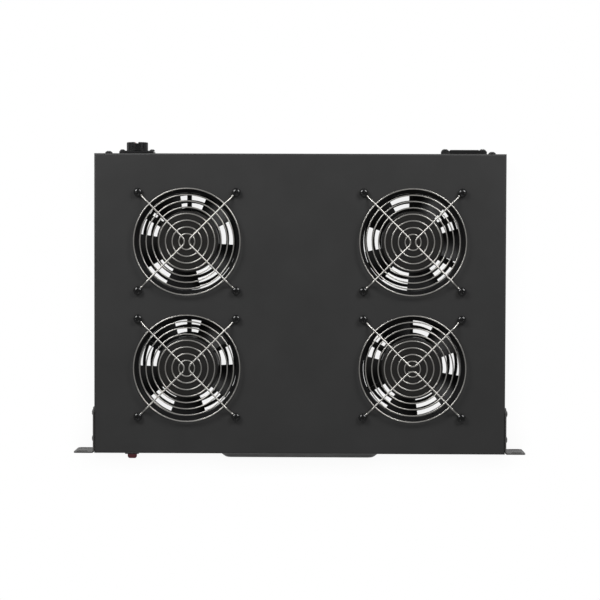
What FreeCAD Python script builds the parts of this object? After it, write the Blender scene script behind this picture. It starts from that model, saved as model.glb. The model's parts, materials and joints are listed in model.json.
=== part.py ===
"""Rack fan tray: a 1U, 19 inch sheet-metal tray that carries four 120 mm mains fans.

Units are millimetres. X runs to the right of the front panel, Y to the rear and Z up.
The origin is the centre of the four rack holes, on the rear faces of the rack ears, so the
front face lies at Y = -EAR_T and the tray hangs behind the rack rails.
"""
import FreeCAD
import Part
import math
import os

V = FreeCAD.Vector
X_AXIS, Y_AXIS, Z_AXIS = V(1, 0, 0), V(0, 1, 0), V(0, 0, 1)

# ---- Tray and rack interface ----
EAR_SPAN = 482.6          # over both rack ears
EAR_REACH = 22.05         # tray's side to the ear's tip
BODY_W = EAR_SPAN - 2 * EAR_REACH
PANEL_H = 43.6            # height of a 1U panel
SHEET_T = 1.2             # sheet steel of cover and base
SHEET_BEND_R = 2.0        # outer radius of the sheet bends
SHEET_FIT = 0.1           # gap between the nested cover and base
CORNER_SLIT = 1.5         # relief slit between rear flange and side wall
FLANGE_GAP = 0.8          # cover's rear flange above the rear fittings
SIDE_LIP_H = 14.0         # upturned side lips of the base
FRONT_LIP_H = 8.0         # upturned front lip of the base

EAR_T = 1.5               # thickness of the rack ears
EAR_LEG_L = 47.6          # leg along the tray's side, behind the rail plane
EAR_BEND_R = 1.0          # inner bend radius
EAR_CORNER_R = 3.0        # rounded outer corners of the ear
EAR_LEG_CHAMFER = 4.5     # clipped rear corners of the leg
RACK_HOLE_INSET = 8.75    # ear's tip to the middle of its slots
RACK_HOLE_SPAN = EAR_SPAN - 2 * RACK_HOLE_INSET
RACK_HOLE_PITCH = 31.75
RACK_SLOT_W = 7.0
RACK_SLOT_L = 12.0

# ---- Embossed pad in the middle of the front wall ----
PAD_W = 176.0
PAD_H = 33.0
PAD_DEPTH = 5.5
PAD_RUN = 11.0             # how far the drawn side slopes inwards
PAD_CORNER_R = 12.0

# ---- Fans ----
FAN_SIDE_INSET = 99.1     # tray's side to the fans' centres
FAN_PITCH_X = BODY_W - 2 * FAN_SIDE_INSET
FAN_PITCH_Y = 134.8
FAN_FRONT_INSET = 91.4    # front face to the front row's centres
FAN_REAR_INSET = 93.8     # rear row's centres to the rear face
BODY_D = FAN_FRONT_INSET + FAN_PITCH_Y + FAN_REAR_INSET
FAN_SIZE = 119.5
FAN_HOLE_INSET = 7.35     # fan's edge to its screw holes
FAN_HOLE_PITCH = FAN_SIZE - 2 * FAN_HOLE_INSET
FAN_FLOOR_GAP = 3.2       # the fans hang from the cover, clear of the floor
FAN_DEPTH = PANEL_H - 2 * SHEET_T - FAN_FLOOR_GAP
FAN_FLANGE_T = 4.5
FAN_CORNER_R = 6.0
FAN_BORE_R = 52.4
FAN_MOUTH_R = FAN_BORE_R + 4.6       # flared mouth of the bore at both faces
FAN_FLARE = 6.0
BARREL_R = FAN_BORE_R + 2.0
FAN_OPENING_R = FAN_MOUTH_R + 0.5    # round holes for the fans in the cover

SPIDER_ARMS = 6
SPIDER_ARM_W = 4.4
SPIDER_ARM_H = 5.0
SPIDER_TURN = 30.0        # direction of the first arm
MOTOR_CUP_T = 3.0
TUBE_R = 7.0              # bearing tube that stands on the cup
TUBE_TOP_DROP = 9.0       # top of the tube below the top of the fan
STATOR_R = 24.0
STATOR_H = 13.0
STATOR_SLOTS = 8
BEARING_R = 5.0
BEARING_T = 4.0
SHAFT_R = 2.0
SHAFT_CLEARANCE = 0.03
TUBE_STOP_T = 2.0         # shoulder left below the lower bearing

# ---- Impeller ----
BLADES = 5
BLADE_SPAN_DEG = 41.0     # each blade's width seen from above
BLADE_RISE = 22.0         # axial height that a blade covers
BLADE_T = 2.2
BLADE_CAMBER = 2.6
TIP_CLEARANCE = 0.5
HUB_R = 33.0
MOTOR_CUP_R = HUB_R - 0.5
HUB_WALL = 2.5
HUB_DROP = 4.0            # hub face below the fan's top face
HUB_H = 26.0
HUB_EDGE_R = 2.0
HUB_BOSS_R = 5.0
REST_ANGLES = (47.5, 68.0, 54.0, 41.5)   # a blade's direction at rest, in the order of FAN_NAMES

# ---- Wire guards ----
RING_INNER_R = 8.45
RING_PITCH_INNER = 7.15   # between the four inner rings
INNER_RINGS = 4
OUTER_RINGS = 4           # evenly spaced from the inner rings to the opening's edge
RING_EDGE_GAP = 0.9       # middle of the last ring inside the opening's edge
RING_WIRE_R = 0.7
ARM_WIRE_R = 0.9
WELD_DEPTH = 0.25         # how far ring and arm are pressed into each other
ARM_LIFT = 4.2            # arms stand this much above their eyelets
ARM_STEP_OUT = 67.0       # radius where an arm starts to rise
ARM_STEP_IN = 60.5        # radius where it is level again
ARM_STEP_R = 3.0
ARM_APEX_R = 6.5          # bend of the V near the centre
EYELET_R = 3.35

# ---- Punched grilles in the floor, one below each fan ----
GRILLE_REAR_SHIFT = 2.2   # the grilles' centres behind the fans'
GRILLE_INNER_R = 37.1     # middle of the innermost ring of slots
GRILLE_PITCH = 8.25
GRILLE_RINGS = 3
GRILLE_SLOT_W = 5.0
GRILLE_BRIDGES = 6
GRILLE_BRIDGE_W = 4.6
GRILLE_TURN = SPIDER_TURN  # the bridges lie below the fans' spider arms

# ---- Fasteners ----
M4_R = 1.95
M4_HOLE_R = 2.2
M4_HEAD_R = 4.0
M4_HEAD_H = 2.8
GUARD_HEAD_R = 4.6        # wide, domed heads that cover the guards' eyelets
GUARD_HEAD_H = 3.0
HEAD_DOME = 0.7           # domed share of a head's height
M4_NUT_AF = 7.0
M4_NUT_H = 3.2
M4_NUT_BORE_R = 2.0
M3_R = 1.45
M3_HOLE_R = 1.7
M3_HEAD_R = 2.9
M3_HEAD_H = 2.0
TIP_BEYOND_NUT = 1.0      # how far a screw's tip shows beyond its nut
EAR_SCREW_FRONT = 15.0    # first screw row, behind the front face
EAR_SCREW_PITCH_Y = 27.8
EAR_HEAD_H = 2.1          # flatter heads at the ears
EAR_SCREW_PITCH_Z = 24.0
COVER_SCREW_INSET = 15.2  # from the tray's side
COVER_SCREW_DROP = 5.4    # from the tray's top
COVER_SCREW_L = 6.0

# ---- Rear fittings ----
REAR_FITTING_X = BODY_W / 2 - 44.1    # thermostat on the left, mains inlet on the right
INLET_CAVITY_W = 24.6
INLET_CAVITY_H = 16.8
INLET_CAVITY_D = 18.0
INLET_CAVITY_CHAMFER = 5.0
INLET_BODY_W = INLET_CAVITY_W + 2.8
INLET_BODY_H = INLET_CAVITY_H + 3.2
INLET_BODY_D = INLET_CAVITY_D
INLET_RIM_W = INLET_BODY_W + 3.6
INLET_RIM_OUT = 6.1
INLET_SCREW_OUT = 4.5     # rim's side to the middle of a screw
INLET_EAR_OUT = 4.4       # from there to the flange's end
INLET_SCREW_PITCH = INLET_RIM_W + 2 * INLET_SCREW_OUT
INLET_FLANGE_W = INLET_SCREW_PITCH + 2 * INLET_EAR_OUT
INLET_FLANGE_H = INLET_BODY_H + 3.6
INLET_FLANGE_T = 4.8
INLET_EAR_H = 11.0
INLET_PIN_PITCH = 7.0
INLET_PIN_W = 2.0
INLET_PIN_H = 4.0
INLET_PIN_TIP = 2.0       # tips below the rim
INLET_PIN_OFFSET = 2.0    # line and neutral below the centre, earth above it
INLET_TAB_L = 6.5
INLET_TAB_W = 6.3
INLET_TAB_T = 0.8
PANEL_CUT_FIT = 0.25      # gap round a body in its panel cut-out

THERMO_BODY_W = 26.0
THERMO_BODY_H = 20.0
THERMO_BODY_D = 20.0
THERMO_SCREW_PITCH = THERMO_BODY_W + 6.0
THERMO_PLATE_W = THERMO_SCREW_PITCH + 5.0
THERMO_PLATE_H = THERMO_BODY_H + 4.0
THERMO_PLATE_T = 4.5
KNOB_R = 11.4
KNOB_H = 8.9
KNOB_GAP = 0.3
KNOB_FLUTES = 18
KNOB_FLUTE_R = 0.8
KNOB_SLOT_W = 4.2
KNOB_SLOT_D = 1.4
KNOB_BORE_D = 6.0
SPINDLE_R = 3.0
SPINDLE_SINK = 8.0
MARKER_L = 7.0
MARKER_W = 6.5
MARKER_D = 1.6
MARKER_PROUD = 0.2

# ---- Front switch ----
SWITCH_X = 39.2 - BODY_W / 2
ROCKER_W = 10.0
ROCKER_TILT = 12.0        # degrees either side of level
ROCKER_PIVOT_IN = 3.2     # pivot behind the panel's face
ROCKER_HALF_H = 6.9
ROCKER_FACE_OUT = 9.2     # ends of the rocker's face in front of the pivot
ROCKER_DISH = 1.6
SWITCH_WELL_W = ROCKER_W + 0.8
SWITCH_WELL_H = 2 * ROCKER_HALF_H + 3.2
SWITCH_WELL_D = 8.0
SWITCH_BODY_W = SWITCH_WELL_W + 2.2
SWITCH_BODY_H = SWITCH_WELL_H + 2.0
SWITCH_BODY_D = 12.0
SWITCH_BEZEL_W = SWITCH_BODY_W + 2.0
SWITCH_BEZEL_H = SWITCH_BODY_H + 2.0
SWITCH_BEZEL_T = 2.2
PIVOT_R = 1.2
PIVOT_FIT = 0.05
SWITCH_TAB_L = 7.0
SWITCH_TAB_W = 4.8
SWITCH_TAB_T = 0.8
SWITCH_TAB_PITCH = 7.0

# ---- Places worked out from the sizes above ----
FRONT_Y = -EAR_T
REAR_Y = FRONT_Y + BODY_D
TOP_Z = PANEL_H / 2
BOTTOM_Z = -PANEL_H / 2
SIDE_X = BODY_W / 2
FAN_TOP = TOP_Z - SHEET_T
FAN_BOTTOM = FAN_TOP - FAN_DEPTH
WALL_Y = REAR_Y - SHEET_T - SHEET_FIT        # outer face of the base's rear wall
REAR_FLANGE_H = PANEL_H / 2 - max(INLET_FLANGE_H, THERMO_PLATE_H) / 2 - FLANGE_GAP
BASE_SIDE_X = SIDE_X - SHEET_T - SHEET_FIT   # outer face of the base's side lips
FLOOR_Z = BOTTOM_Z + SHEET_T
FRONT_INNER_Y = FRONT_Y + SHEET_T
BASE_FRONT_Y = FRONT_INNER_Y + SHEET_FIT     # front face of the base's front lip
FRONT_ROW_Y = FRONT_Y + FAN_FRONT_INSET
FAN_CENTRES = [(sx * FAN_PITCH_X / 2, FRONT_ROW_Y + row * FAN_PITCH_Y)
               for row in (1, 0) for sx in (-1, 1)]
FAN_NAMES = ("rear_left", "rear_right", "front_left", "front_right")


# ---- Small helpers ----
def box(x0, x1, y0, y1, z0, z1):
    """Block between two corners, given in any order."""
    low = V(min(x0, x1), min(y0, y1), min(z0, z1))
    return Part.makeBox(abs(x1 - x0), abs(y1 - y0), abs(z1 - z0), low)


def rod(radius, start, length, axis=Z_AXIS):
    return Part.makeCylinder(radius, length, start, axis)


def fillet_where(shape, radius, test):
    """Rounds the edges whose middle passes the test."""
    chosen = [e for e in shape.Edges if test(e.CenterOfMass, e)]
    return shape.makeFillet(radius, chosen)


def rounded_path(points, radii):
    """Wire of straight runs joined by tangent arcs, with one radius for each inner point."""
    edges, start = [], points[0]
    for before, corner, after, r in zip(points, points[1:], points[2:], radii):
        to_before, to_after = (before - corner).normalize(), (after - corner).normalize()
        half = to_before.getAngle(to_after) / 2
        setback = r / math.tan(half)
        first, last = corner + to_before * setback, corner + to_after * setback
        bisector = (to_before + to_after).normalize()
        middle = corner + bisector * (r / math.sin(half) - r)
        edges.append(Part.LineSegment(start, first).toShape())
        edges.append(Part.Arc(first, middle, last).toShape())
        start = last
    edges.append(Part.LineSegment(start, points[-1]).toShape())
    return Part.Wire(edges)


def tube_along(path, radius):
    """Round bar swept along a wire."""
    first = path.Edges[0]
    start = first.valueAt(first.FirstParameter)
    along = first.tangentAt(first.FirstParameter)
    ring = Part.Wire([Part.makeCircle(radius, start, along)])
    return path.makePipeShell([ring], True, False)


def hexagon(across_flats, height, base, axis):
    """Hexagonal prism from base along axis."""
    r = across_flats / math.sqrt(3)
    corners = [V(r * math.cos(math.radians(60 * i)), r * math.sin(math.radians(60 * i)), 0)
               for i in range(7)]
    prism = Part.Face(Part.makePolygon(corners)).extrude(V(0, 0, height))
    prism.Placement = FreeCAD.Placement(base, FreeCAD.Rotation(Z_AXIS, axis))
    return prism


def pan_screw(seat, axis, length, shank_r, head_r, head_h):
    """Pan-head screw with a cross recess.

    seat is the middle of the head's underside, and axis points out of the head.
    """
    dome = head_h * HEAD_DOME
    dome_r = (head_r ** 2 + dome ** 2) / (2 * dome)
    rim = V(head_r, 0, head_h - dome)
    crown = V(0, 0, head_h)
    shoulder = V(head_r / 2, 0, head_h - dome_r + math.sqrt(dome_r ** 2 - head_r ** 2 / 4))
    half = [Part.LineSegment(V(0, 0, 0), V(head_r, 0, 0)).toShape(),
            Part.LineSegment(V(head_r, 0, 0), rim).toShape(),
            Part.Arc(rim, shoulder, crown).toShape(),
            Part.LineSegment(crown, V(0, 0, 0)).toShape()]
    head = Part.Face(Part.Wire(half)).revolve(V(0, 0, 0), Z_AXIS, 360)
    arm, slot, depth = head_r * 0.55, head_r * 0.13, head_h * 0.55
    recess = box(-arm, arm, -slot, slot, head_h - depth, head_h + 1)
    recess = recess.fuse(box(-slot, slot, -arm, arm, head_h - depth, head_h + 1))
    screw = head.cut(recess).fuse(rod(shank_r, V(0, 0, -length), length + 0.1)).removeSplitter()
    screw.Placement = FreeCAD.Placement(seat, FreeCAD.Rotation(Z_AXIS, axis))
    return screw


def nut(base, axis):
    """M4 nut standing on base along axis."""
    body = hexagon(M4_NUT_AF, M4_NUT_H, base, axis)
    return body.cut(rod(M4_NUT_BORE_R, base - axis, M4_NUT_H + 2, axis))


def corners(pitch_x, pitch_y):
    return [(sx * pitch_x / 2, sy * pitch_y / 2) for sx in (-1, 1) for sy in (-1, 1)]


# ---- Sheet metal ----
def ear_screw_places():
    """(y, z) of the screws through one ear's leg."""
    y0 = FRONT_Y + EAR_SCREW_FRONT
    return [(y0 + i * EAR_SCREW_PITCH_Y, sz * EAR_SCREW_PITCH_Z / 2) for i in (0, 1) for sz in (-1, 1)]


def cover_screw_places():
    z = TOP_Z - COVER_SCREW_DROP
    return [V(sx * (SIDE_X - COVER_SCREW_INSET), REAR_Y, z) for sx in (-1, 1)]


def make_top_cover():
    """Top plate with full-height front and sides and a short rear flange, folded from one sheet."""
    outer = box(-SIDE_X, SIDE_X, FRONT_Y, REAR_Y, BOTTOM_Z, TOP_Z)
    outer = fillet_where(outer, SHEET_BEND_R, lambda c, e: c.z > TOP_Z - 1e-3)
    inner_x = SIDE_X - SHEET_T
    hollow = box(-inner_x, inner_x, FRONT_INNER_Y, REAR_Y - SHEET_T, BOTTOM_Z - 9, TOP_Z - SHEET_T)
    hollow = fillet_where(hollow, SHEET_BEND_R - SHEET_T, lambda c, e: c.z > TOP_Z - SHEET_T - 1e-3)
    cover = outer.cut(hollow)
    flange_low = TOP_Z - REAR_FLANGE_H
    cover = cover.cut(box(-inner_x, inner_x, REAR_Y - 2 * SHEET_T, REAR_Y + 1, BOTTOM_Z - 1, flange_low))
    for side in (-1, 1):
        slit = box(side * inner_x, side * (inner_x - CORNER_SLIT), REAR_Y - SHEET_BEND_R,
                   REAR_Y + 1, flange_low - 1, TOP_Z - SHEET_BEND_R)
        cover = cover.cut(slit)
    cover = cover.fuse(drawn_pad(0, FRONT_Y, PAD_DEPTH))
    cover = cover.cut(drawn_pad(SHEET_T, FRONT_INNER_Y, PAD_DEPTH))
    cover = cover.cut(fan_openings())
    half_w, half_h = SWITCH_BODY_W / 2 + PANEL_CUT_FIT, SWITCH_BODY_H / 2 + PANEL_CUT_FIT
    cover = cover.cut(box(SWITCH_X - half_w, SWITCH_X + half_w, FRONT_Y - 1, FRONT_INNER_Y + 1,
                          -half_h, half_h))
    for place in cover_screw_places():
        cover = cover.cut(rod(M4_HOLE_R, place - Y_AXIS * 5, 10, Y_AXIS))
    for y, z in ear_screw_places():
        cover = cover.cut(rod(M4_HOLE_R, V(-SIDE_X - 5, y, z), 2 * SIDE_X + 10, X_AXIS))
    return cover


def fan_openings():
    """Tool that cuts the four round fan openings and their screw holes through the cover."""
    tools = []
    for cx, cy in FAN_CENTRES:
        tools.append(rod(FAN_OPENING_R, V(cx, cy, TOP_Z - 5), 10))
        for dx, dy in corners(FAN_HOLE_PITCH, FAN_HOLE_PITCH):
            tools.append(rod(M4_HOLE_R, V(cx + dx, cy + dy, TOP_Z - 5), 10))
    return Part.Compound(tools)


def rounded_rectangle(w, h, corner, y):
    """Closed wire in the XZ plane at height y."""
    r = min(corner, w / 2 - 0.1, h / 2 - 0.1)
    hw, hh, k = w / 2, h / 2, r * (1 - math.sqrt(0.5))
    p = [V(hw, y, -hh + r), V(hw, y, hh - r), V(hw - r, y, hh), V(-hw + r, y, hh),
         V(-hw, y, hh - r), V(-hw, y, -hh + r), V(-hw + r, y, -hh), V(hw - r, y, -hh)]
    mids = [V(hw - k, y, hh - k), V(-hw + k, y, hh - k), V(-hw + k, y, -hh + k), V(hw - k, y, -hh + k)]
    edges = []
    for i in range(4):
        edges.append(Part.LineSegment(p[2 * i], p[2 * i + 1]).toShape())
        edges.append(Part.Arc(p[2 * i + 1], mids[i], p[(2 * i + 2) % 8]).toShape())
    return Part.Wire(edges)


def drawn_pad(shrink, y_base, depth):
    """Solid of the drawn pad's S-shaped bulge, from y_base towards -Y. shrink narrows it all round."""
    sections = []
    for share in (0.0, 0.2, 0.5, 0.8, 1.0):
        out = depth * (1 - math.cos(math.pi * share)) / 2
        inset = PAD_RUN * share + shrink
        sections.append(rounded_rectangle(PAD_W - 2 * inset, PAD_H - 2 * inset,
                                          PAD_CORNER_R - inset * 0.7, y_base - out))
    return Part.makeLoft(sections, True, False)


def grille_slots(centre):
    """Tool that cuts the arc slots of one grille through the floor."""
    cx, cy = centre[0], centre[1] + GRILLE_REAR_SHIFT
    rings = None
    for i in range(GRILLE_RINGS):
        r = GRILLE_INNER_R + i * GRILLE_PITCH
        ring = rod(r + GRILLE_SLOT_W / 2, V(cx, cy, BOTTOM_Z - 1), SHEET_T + 2)
        ring = ring.cut(rod(r - GRILLE_SLOT_W / 2, V(cx, cy, BOTTOM_Z - 2), SHEET_T + 4))
        rings = ring if rings is None else rings.fuse(ring)
    reach = GRILLE_INNER_R + GRILLE_RINGS * GRILLE_PITCH
    for k in range(GRILLE_BRIDGES):
        bridge = box(0, reach, -GRILLE_BRIDGE_W / 2, GRILLE_BRIDGE_W / 2, BOTTOM_Z - 3, FLOOR_Z + 3)
        bridge.rotate(V(0, 0, 0), Z_AXIS, GRILLE_TURN + 360.0 * k / GRILLE_BRIDGES)
        bridge.translate(V(cx, cy, 0))
        rings = rings.cut(bridge)
    return rings


def make_base_tray():
    """Floor with the grilles, rear wall for the fittings, low front and side lips."""
    outer = box(-BASE_SIDE_X, BASE_SIDE_X, BASE_FRONT_Y, WALL_Y, BOTTOM_Z, TOP_Z)
    outer = fillet_where(outer, SHEET_BEND_R, lambda c, e: c.z < BOTTOM_Z + 1e-3)
    inner_x = BASE_SIDE_X - SHEET_T
    hollow = box(-inner_x, inner_x, BASE_FRONT_Y + SHEET_T, WALL_Y - SHEET_T, FLOOR_Z, TOP_Z + 9)
    hollow = fillet_where(hollow, SHEET_BEND_R - SHEET_T, lambda c, e: c.z < FLOOR_Z + 1e-3)
    tray = outer.cut(hollow)
    side_lip_top, front_lip_top = BOTTOM_Z + SIDE_LIP_H, BOTTOM_Z + FRONT_LIP_H
    rear_wall_top = TOP_Z - SHEET_BEND_R - SHEET_FIT
    for y0, y1, top in ((BASE_FRONT_Y - 1, BASE_FRONT_Y + 2 * SHEET_T, front_lip_top),
                        (BASE_FRONT_Y - 1, WALL_Y - SHEET_T, side_lip_top),
                        (WALL_Y - 2 * SHEET_T, REAR_Y, rear_wall_top)):
        tray = tray.cut(box(-SIDE_X, SIDE_X, y0, y1, top, TOP_Z + 1))
    tray = tray.cut([grille_slots(centre) for centre in FAN_CENTRES])
    for x, w, h, pitch, hole in (
            (REAR_FITTING_X, INLET_BODY_W, INLET_BODY_H, INLET_SCREW_PITCH, M4_HOLE_R),
            (-REAR_FITTING_X, THERMO_BODY_W, THERMO_BODY_H, THERMO_SCREW_PITCH, M3_HOLE_R)):
        half_w, half_h = w / 2 + PANEL_CUT_FIT, h / 2 + PANEL_CUT_FIT
        tray = tray.cut(box(x - half_w, x + half_w, WALL_Y - 2 * SHEET_T, WALL_Y + 1, -half_h, half_h))
        for side in (-1, 1):
            tray = tray.cut(rod(hole, V(x + side * pitch / 2, WALL_Y - 5, 0), 10, Y_AXIS))
    for place in cover_screw_places():
        tray = tray.cut(rod(M4_HOLE_R, place - Y_AXIS * 8, 16, Y_AXIS))
    for y, z in ear_screw_places():
        if z < 0:
            tray = tray.cut(rod(M4_HOLE_R, V(-SIDE_X - 5, y, z), 2 * SIDE_X + 10, X_AXIS))
    return tray


def make_ear(side):
    """Folded rack ear: a leg along the tray's side and a flange with two slots."""
    x0, x1, tip = SIDE_X, SIDE_X + EAR_T, EAR_SPAN / 2
    leg = box(x0, x1, FRONT_Y, EAR_LEG_L, BOTTOM_Z, TOP_Z)
    leg = leg.makeChamfer(EAR_LEG_CHAMFER, [e for e in leg.Edges
                                            if abs(e.Length - EAR_T) < 1e-6
                                            and abs(e.CenterOfMass.y - EAR_LEG_L) < 1e-6])
    flange = box(x0, tip, FRONT_Y, 0, BOTTOM_Z, TOP_Z)
    flange = fillet_where(flange, EAR_CORNER_R,
                          lambda c, e: abs(e.Length - EAR_T) < 1e-6 and c.x > tip - 1)
    ear = leg.fuse(flange).removeSplitter()
    ear = fillet_where(ear, EAR_BEND_R,
                       lambda c, e: abs(c.x - x1) < 1e-6 and abs(c.y) < 1e-6)
    ear = fillet_where(ear, EAR_BEND_R + EAR_T,
                       lambda c, e: abs(c.x - x0) < 1e-6 and abs(c.y - FRONT_Y) < 1e-6)
    for sz in (-1, 1):
        z = sz * RACK_HOLE_PITCH / 2
        reach = (RACK_SLOT_L - RACK_SLOT_W) / 2
        x = RACK_HOLE_SPAN / 2
        ear = ear.cut(box(x - reach, x + reach, FRONT_Y - 1, 1, z - RACK_SLOT_W / 2, z + RACK_SLOT_W / 2))
        for end in (-1, 1):
            ear = ear.cut(rod(RACK_SLOT_W / 2, V(x + end * reach, FRONT_Y - 1, z), EAR_T + 2, Y_AXIS))
    for y, z in ear_screw_places():
        ear = ear.cut(rod(M4_HOLE_R, V(SIDE_X - 1, y, z), EAR_T + 2, X_AXIS))
    if side < 0:
        ear = ear.mirror(V(0, 0, 0), X_AXIS)
    return ear


def make_ear_fasteners():
    """Screws and nuts that hold the ears; the lower row also holds the base's lips."""
    screws, nuts = [], []
    for side in (-1, 1):
        out = X_AXIS * side
        for y, z in ear_screw_places():
            back = SIDE_X - SHEET_T if z > 0 else BASE_SIDE_X - SHEET_T
            grip = SIDE_X + EAR_T - back
            length = grip + M4_NUT_H + TIP_BEYOND_NUT
            seat = V(side * (SIDE_X + EAR_T), y, z)
            screws.append(pan_screw(seat, out, length, M4_R, M4_HEAD_R, EAR_HEAD_H))
            nuts.append(nut(V(side * back, y, z), out * -1))
    return Part.Compound(screws), Part.Compound(nuts)


# ---- Fans ----
def revolve_profile(points):
    """Solid of revolution about Z from a closed list of (radius, z)."""
    outline = Part.makePolygon([V(r, 0, z) for r, z in points + points[:1]])
    return Part.Face(outline).revolve(V(0, 0, 0), Z_AXIS, 360)


def make_fan_frame():
    """Square-flanged fan housing with its spider, motor cup and bearing tube, about the Z axis."""
    half = FAN_SIZE / 2
    frame = rod(BARREL_R, V(0, 0, FAN_BOTTOM), FAN_DEPTH)
    for z in (FAN_BOTTOM, FAN_TOP - FAN_FLANGE_T):
        flange = box(-half, half, -half, half, z, z + FAN_FLANGE_T)
        flange = fillet_where(flange, FAN_CORNER_R, lambda c, e: abs(e.Length - FAN_FLANGE_T) < 1e-6)
        frame = frame.fuse(flange)
    bore = revolve_profile([(0, FAN_BOTTOM - 1), (FAN_MOUTH_R, FAN_BOTTOM - 1), (FAN_MOUTH_R, FAN_BOTTOM),
                            (FAN_BORE_R, FAN_BOTTOM + FAN_FLARE), (FAN_BORE_R, FAN_TOP - FAN_FLARE),
                            (FAN_MOUTH_R, FAN_TOP), (FAN_MOUTH_R, FAN_TOP + 1), (0, FAN_TOP + 1)])
    frame = frame.cut(bore)
    for dx, dy in corners(FAN_HOLE_PITCH, FAN_HOLE_PITCH):
        frame = frame.cut(rod(M4_HOLE_R, V(dx, dy, FAN_BOTTOM - 1), FAN_DEPTH + 2))
    spider = rod(MOTOR_CUP_R, V(0, 0, FAN_BOTTOM), MOTOR_CUP_T)
    for k in range(SPIDER_ARMS):
        arm = box(MOTOR_CUP_R - 2, FAN_BORE_R + 1.5, -SPIDER_ARM_W / 2, SPIDER_ARM_W / 2,
                  FAN_BOTTOM, FAN_BOTTOM + SPIDER_ARM_H)
        arm.rotate(V(0, 0, 0), Z_AXIS, SPIDER_TURN + 360.0 * k / SPIDER_ARMS)
        spider = spider.fuse(arm.common(rod(FAN_BORE_R + 1, V(0, 0, FAN_BOTTOM), SPIDER_ARM_H)))
    tube_top = FAN_TOP - TUBE_TOP_DROP
    spider = spider.fuse(rod(TUBE_R, V(0, 0, FAN_BOTTOM), tube_top - FAN_BOTTOM))
    frame = frame.fuse(spider)
    lower_seat = FAN_BOTTOM + TUBE_STOP_T
    frame = frame.cut(rod(BEARING_R, V(0, 0, lower_seat), tube_top - lower_seat + 1))
    return frame.removeSplitter()


def make_bearings():
    """Two ball-bearing rings, one at each end of the bearing tube."""
    lower = FAN_BOTTOM + TUBE_STOP_T
    upper = FAN_TOP - TUBE_TOP_DROP - BEARING_T
    rings = []
    for z in (lower, upper):
        ring = rod(BEARING_R, V(0, 0, z), BEARING_T)
        rings.append(ring.cut(rod(SHAFT_R + SHAFT_CLEARANCE, V(0, 0, z - 1), BEARING_T + 2)))
    return Part.Compound(rings)


def make_stator():
    """Wound stator pack pressed on the bearing tube, with its winding slots."""
    z = FAN_BOTTOM + MOTOR_CUP_T
    pack = rod(STATOR_R, V(0, 0, z), STATOR_H)
    pack = pack.cut(rod(TUBE_R, V(0, 0, z - 1), STATOR_H + 2))
    for k in range(STATOR_SLOTS):
        slot = box(STATOR_R * 0.55, STATOR_R + 1, -1.6, 1.6, z - 1, z + STATOR_H + 1)
        slot.rotate(V(0, 0, 0), Z_AXIS, 360.0 * k / STATOR_SLOTS)
        pack = pack.cut(slot)
    return pack


def blade_section(r):
    """Closed cambered profile at distance r from the axis, in the plane X = r."""
    half_w = r * math.tan(math.radians(BLADE_SPAN_DEG / 2))
    mid_z = FAN_TOP - HUB_DROP - HUB_H / 2
    rise = BLADE_RISE / 2
    faces = []
    for offset in (BLADE_T / 2, -BLADE_T / 2):
        points = []
        for i in range(7):
            s = -1 + i / 3.0
            camber = BLADE_CAMBER * (1 - s * s)
            thick = offset * (1 - 0.5 * s * s)
            points.append(V(r, half_w * s, mid_z - rise * s + camber + thick))
        curve = Part.BSplineCurve()
        curve.interpolate(points)
        faces.append((points, curve.toShape()))
    (upper, upper_edge), (lower, lower_edge) = faces
    return Part.Wire([upper_edge, Part.LineSegment(upper[-1], lower[-1]).toShape(), lower_edge,
                      Part.LineSegment(lower[0], upper[0]).toShape()])


def make_impeller():
    """Hub cup with five twisted blades. The first blade points along +X."""
    top = FAN_TOP - HUB_DROP
    tip_r = FAN_BORE_R - TIP_CLEARANCE
    hub = rod(HUB_R, V(0, 0, top - HUB_H), HUB_H)
    hub = fillet_where(hub, HUB_EDGE_R, lambda c, e: c.z > top - 1e-3 and len(e.Vertexes) == 1)
    blade = Part.makeLoft([blade_section(HUB_R - 4), blade_section(FAN_BORE_R + 4)], True, True)
    swept = rod(tip_r, V(0, 0, FAN_BOTTOM), FAN_DEPTH)
    blade = blade.common(swept)
    impeller = hub
    for k in range(BLADES):
        one = blade.copy()
        one.rotate(V(0, 0, 0), Z_AXIS, 360.0 * k / BLADES)
        impeller = impeller.fuse(one)
    impeller = impeller.cut(rod(HUB_R - HUB_WALL, V(0, 0, top - HUB_H - 5), HUB_H - HUB_WALL + 5))
    boss = rod(HUB_BOSS_R, V(0, 0, top - HUB_WALL - 1.5), 2.0)
    impeller = impeller.fuse(boss)
    return impeller.cut(rod(SHAFT_R, V(0, 0, top - HUB_WALL - 3), HUB_WALL + 1)).removeSplitter()


def make_shaft():
    """Steel shaft, pressed in the hub and running in the bearings."""
    top = FAN_TOP - HUB_DROP - 2.0
    bottom = FAN_BOTTOM + TUBE_STOP_T
    return rod(SHAFT_R, V(0, 0, bottom + 0.3), top - bottom - 0.3)


# ---- Wire guards ----
def ring_radii():
    inner = [RING_INNER_R + i * RING_PITCH_INNER for i in range(INNER_RINGS)]
    pitch = (FAN_OPENING_R - RING_EDGE_GAP - inner[-1]) / OUTER_RINGS
    outer = [inner[-1] + (i + 1) * pitch for i in range(OUTER_RINGS)]
    return inner + outer


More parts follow.
